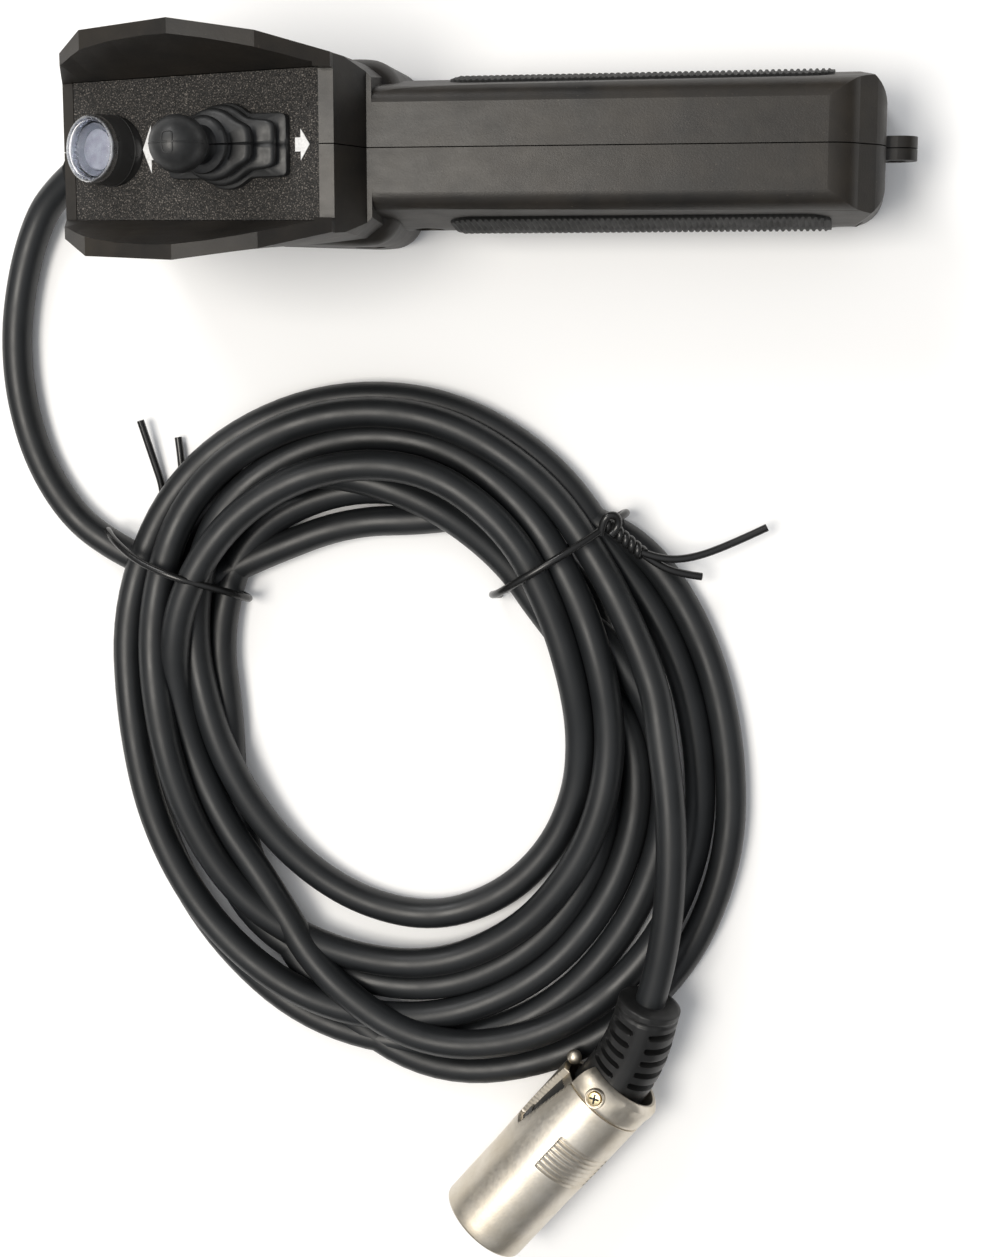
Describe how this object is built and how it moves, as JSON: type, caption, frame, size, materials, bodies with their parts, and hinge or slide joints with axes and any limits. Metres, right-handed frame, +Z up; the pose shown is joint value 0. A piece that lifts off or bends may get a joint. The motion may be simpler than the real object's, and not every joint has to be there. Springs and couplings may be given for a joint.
{
  "type": "wired remote control",
  "caption": "Handheld wired remote with a sprung toggle under a rubber boot, guard wings, a torch, a coiled lead and a round plug.",
  "frame": {"origin": "centre of the handset's length and width, on the surface that the handset and its lead lie on", "axes": "+X along the handset from its nose to the lanyard lug, +Y across it, square to the line where the two housing halves meet, +Z up"},
  "size_m": [0.1805, 0.2385, 0.0632],
  "materials": {
    "shell": "satin black moulded nylon",
    "pad_rubber": "matt, finely ribbed",
    "screw_steel": "black oxide",
    "panel": "fine-grained matt",
    "mark": "white printing ink",
    "boot_rubber": "smooth matt",
    "lever_chrome": "bright",
    "spring_steel": "bright drawn",
    "insert_plastic": "moulded",
    "nickel": "satin nickel plate",
    "switch_plastic": "moulded",
    "contact_brass": "plain",
    "collar_plastic": "gloss black",
    "torch_chrome": "bright",
    "lens": "clear moulded",
    "emitter": "phosphor under clear resin",
    "board": "green laminate",
    "cord_rubber": "satin jacket",
    "wire_insulation": "coloured insulation",
    "tie_wire": "plastic-covered wire"
  },
  "bodies": {
    "housing": {"housing_left": "shell", "housing_right": "shell", "grip_pad_left": "pad_rubber", "grip_pad_right": "pad_rubber", "housing_screws": "screw_steel", "control_panel": "panel", "mark_down_slope": "mark", "mark_up_slope": "mark", "boot_flange": "boot_rubber", "boot_bellows": "boot_rubber", "toggle_bushing": "nickel", "toggle_nut": "nickel", "toggle_washer": "spring_steel", "switch_body": "switch_plastic", "switch_terminals": "contact_brass", "rocker_pin": "spring_steel", "torch_body": "collar_plastic", "torch_ring": "torch_chrome", "torch_lens": "lens", "torch_reflector": "torch_chrome", "torch_emitter": "emitter", "torch_board": "board", "cable_gland": "cord_rubber", "inner_lead": "cord_rubber", "cord_clamp": "switch_plastic", "clamp_screws": "screw_steel", "inner_wires": "wire_insulation", "cable_coil": "cord_rubber", "cable_lead": "cord_rubber", "cable_tail": "cord_rubber", "tie_left": "tie_wire", "tie_right": "tie_wire", "plug_shell": "nickel", "plug_insert": "insert_plastic", "plug_pins": "contact_brass", "plug_clamp_ring": "nickel", "plug_screw": "nickel", "plug_boot": "boot_rubber"},
    "toggle": {"boot_cap": "boot_rubber", "toggle_lever": "lever_chrome", "lever_spring": "spring_steel", "lever_plunger": "insert_plastic"},
    "rocker": {"contact_rocker": "contact_brass"}
  },
  "joints": [
    {"name": "toggle_tilt", "type": "hinge", "parent": "housing", "child": "toggle", "pos_m": [-0.04251, 0, 0.03854], "axis": [0, 1, 0], "range_deg": [-12, 12], "stiffness_Nm_per_rad": 0.5, "deforming": ["boot_bellows"]},
    {"name": "rocker_tilt", "type": "hinge", "parent": "housing", "child": "rocker", "pos_m": [-0.03955, 0, 0.02343], "axis": [0, 1, 0], "range_deg": [-7.5, 7.5]}
  ],
  "couplings": [
    {"joint": "rocker_tilt", "follows": "toggle_tilt", "ratio": -0.6}
  ]
}
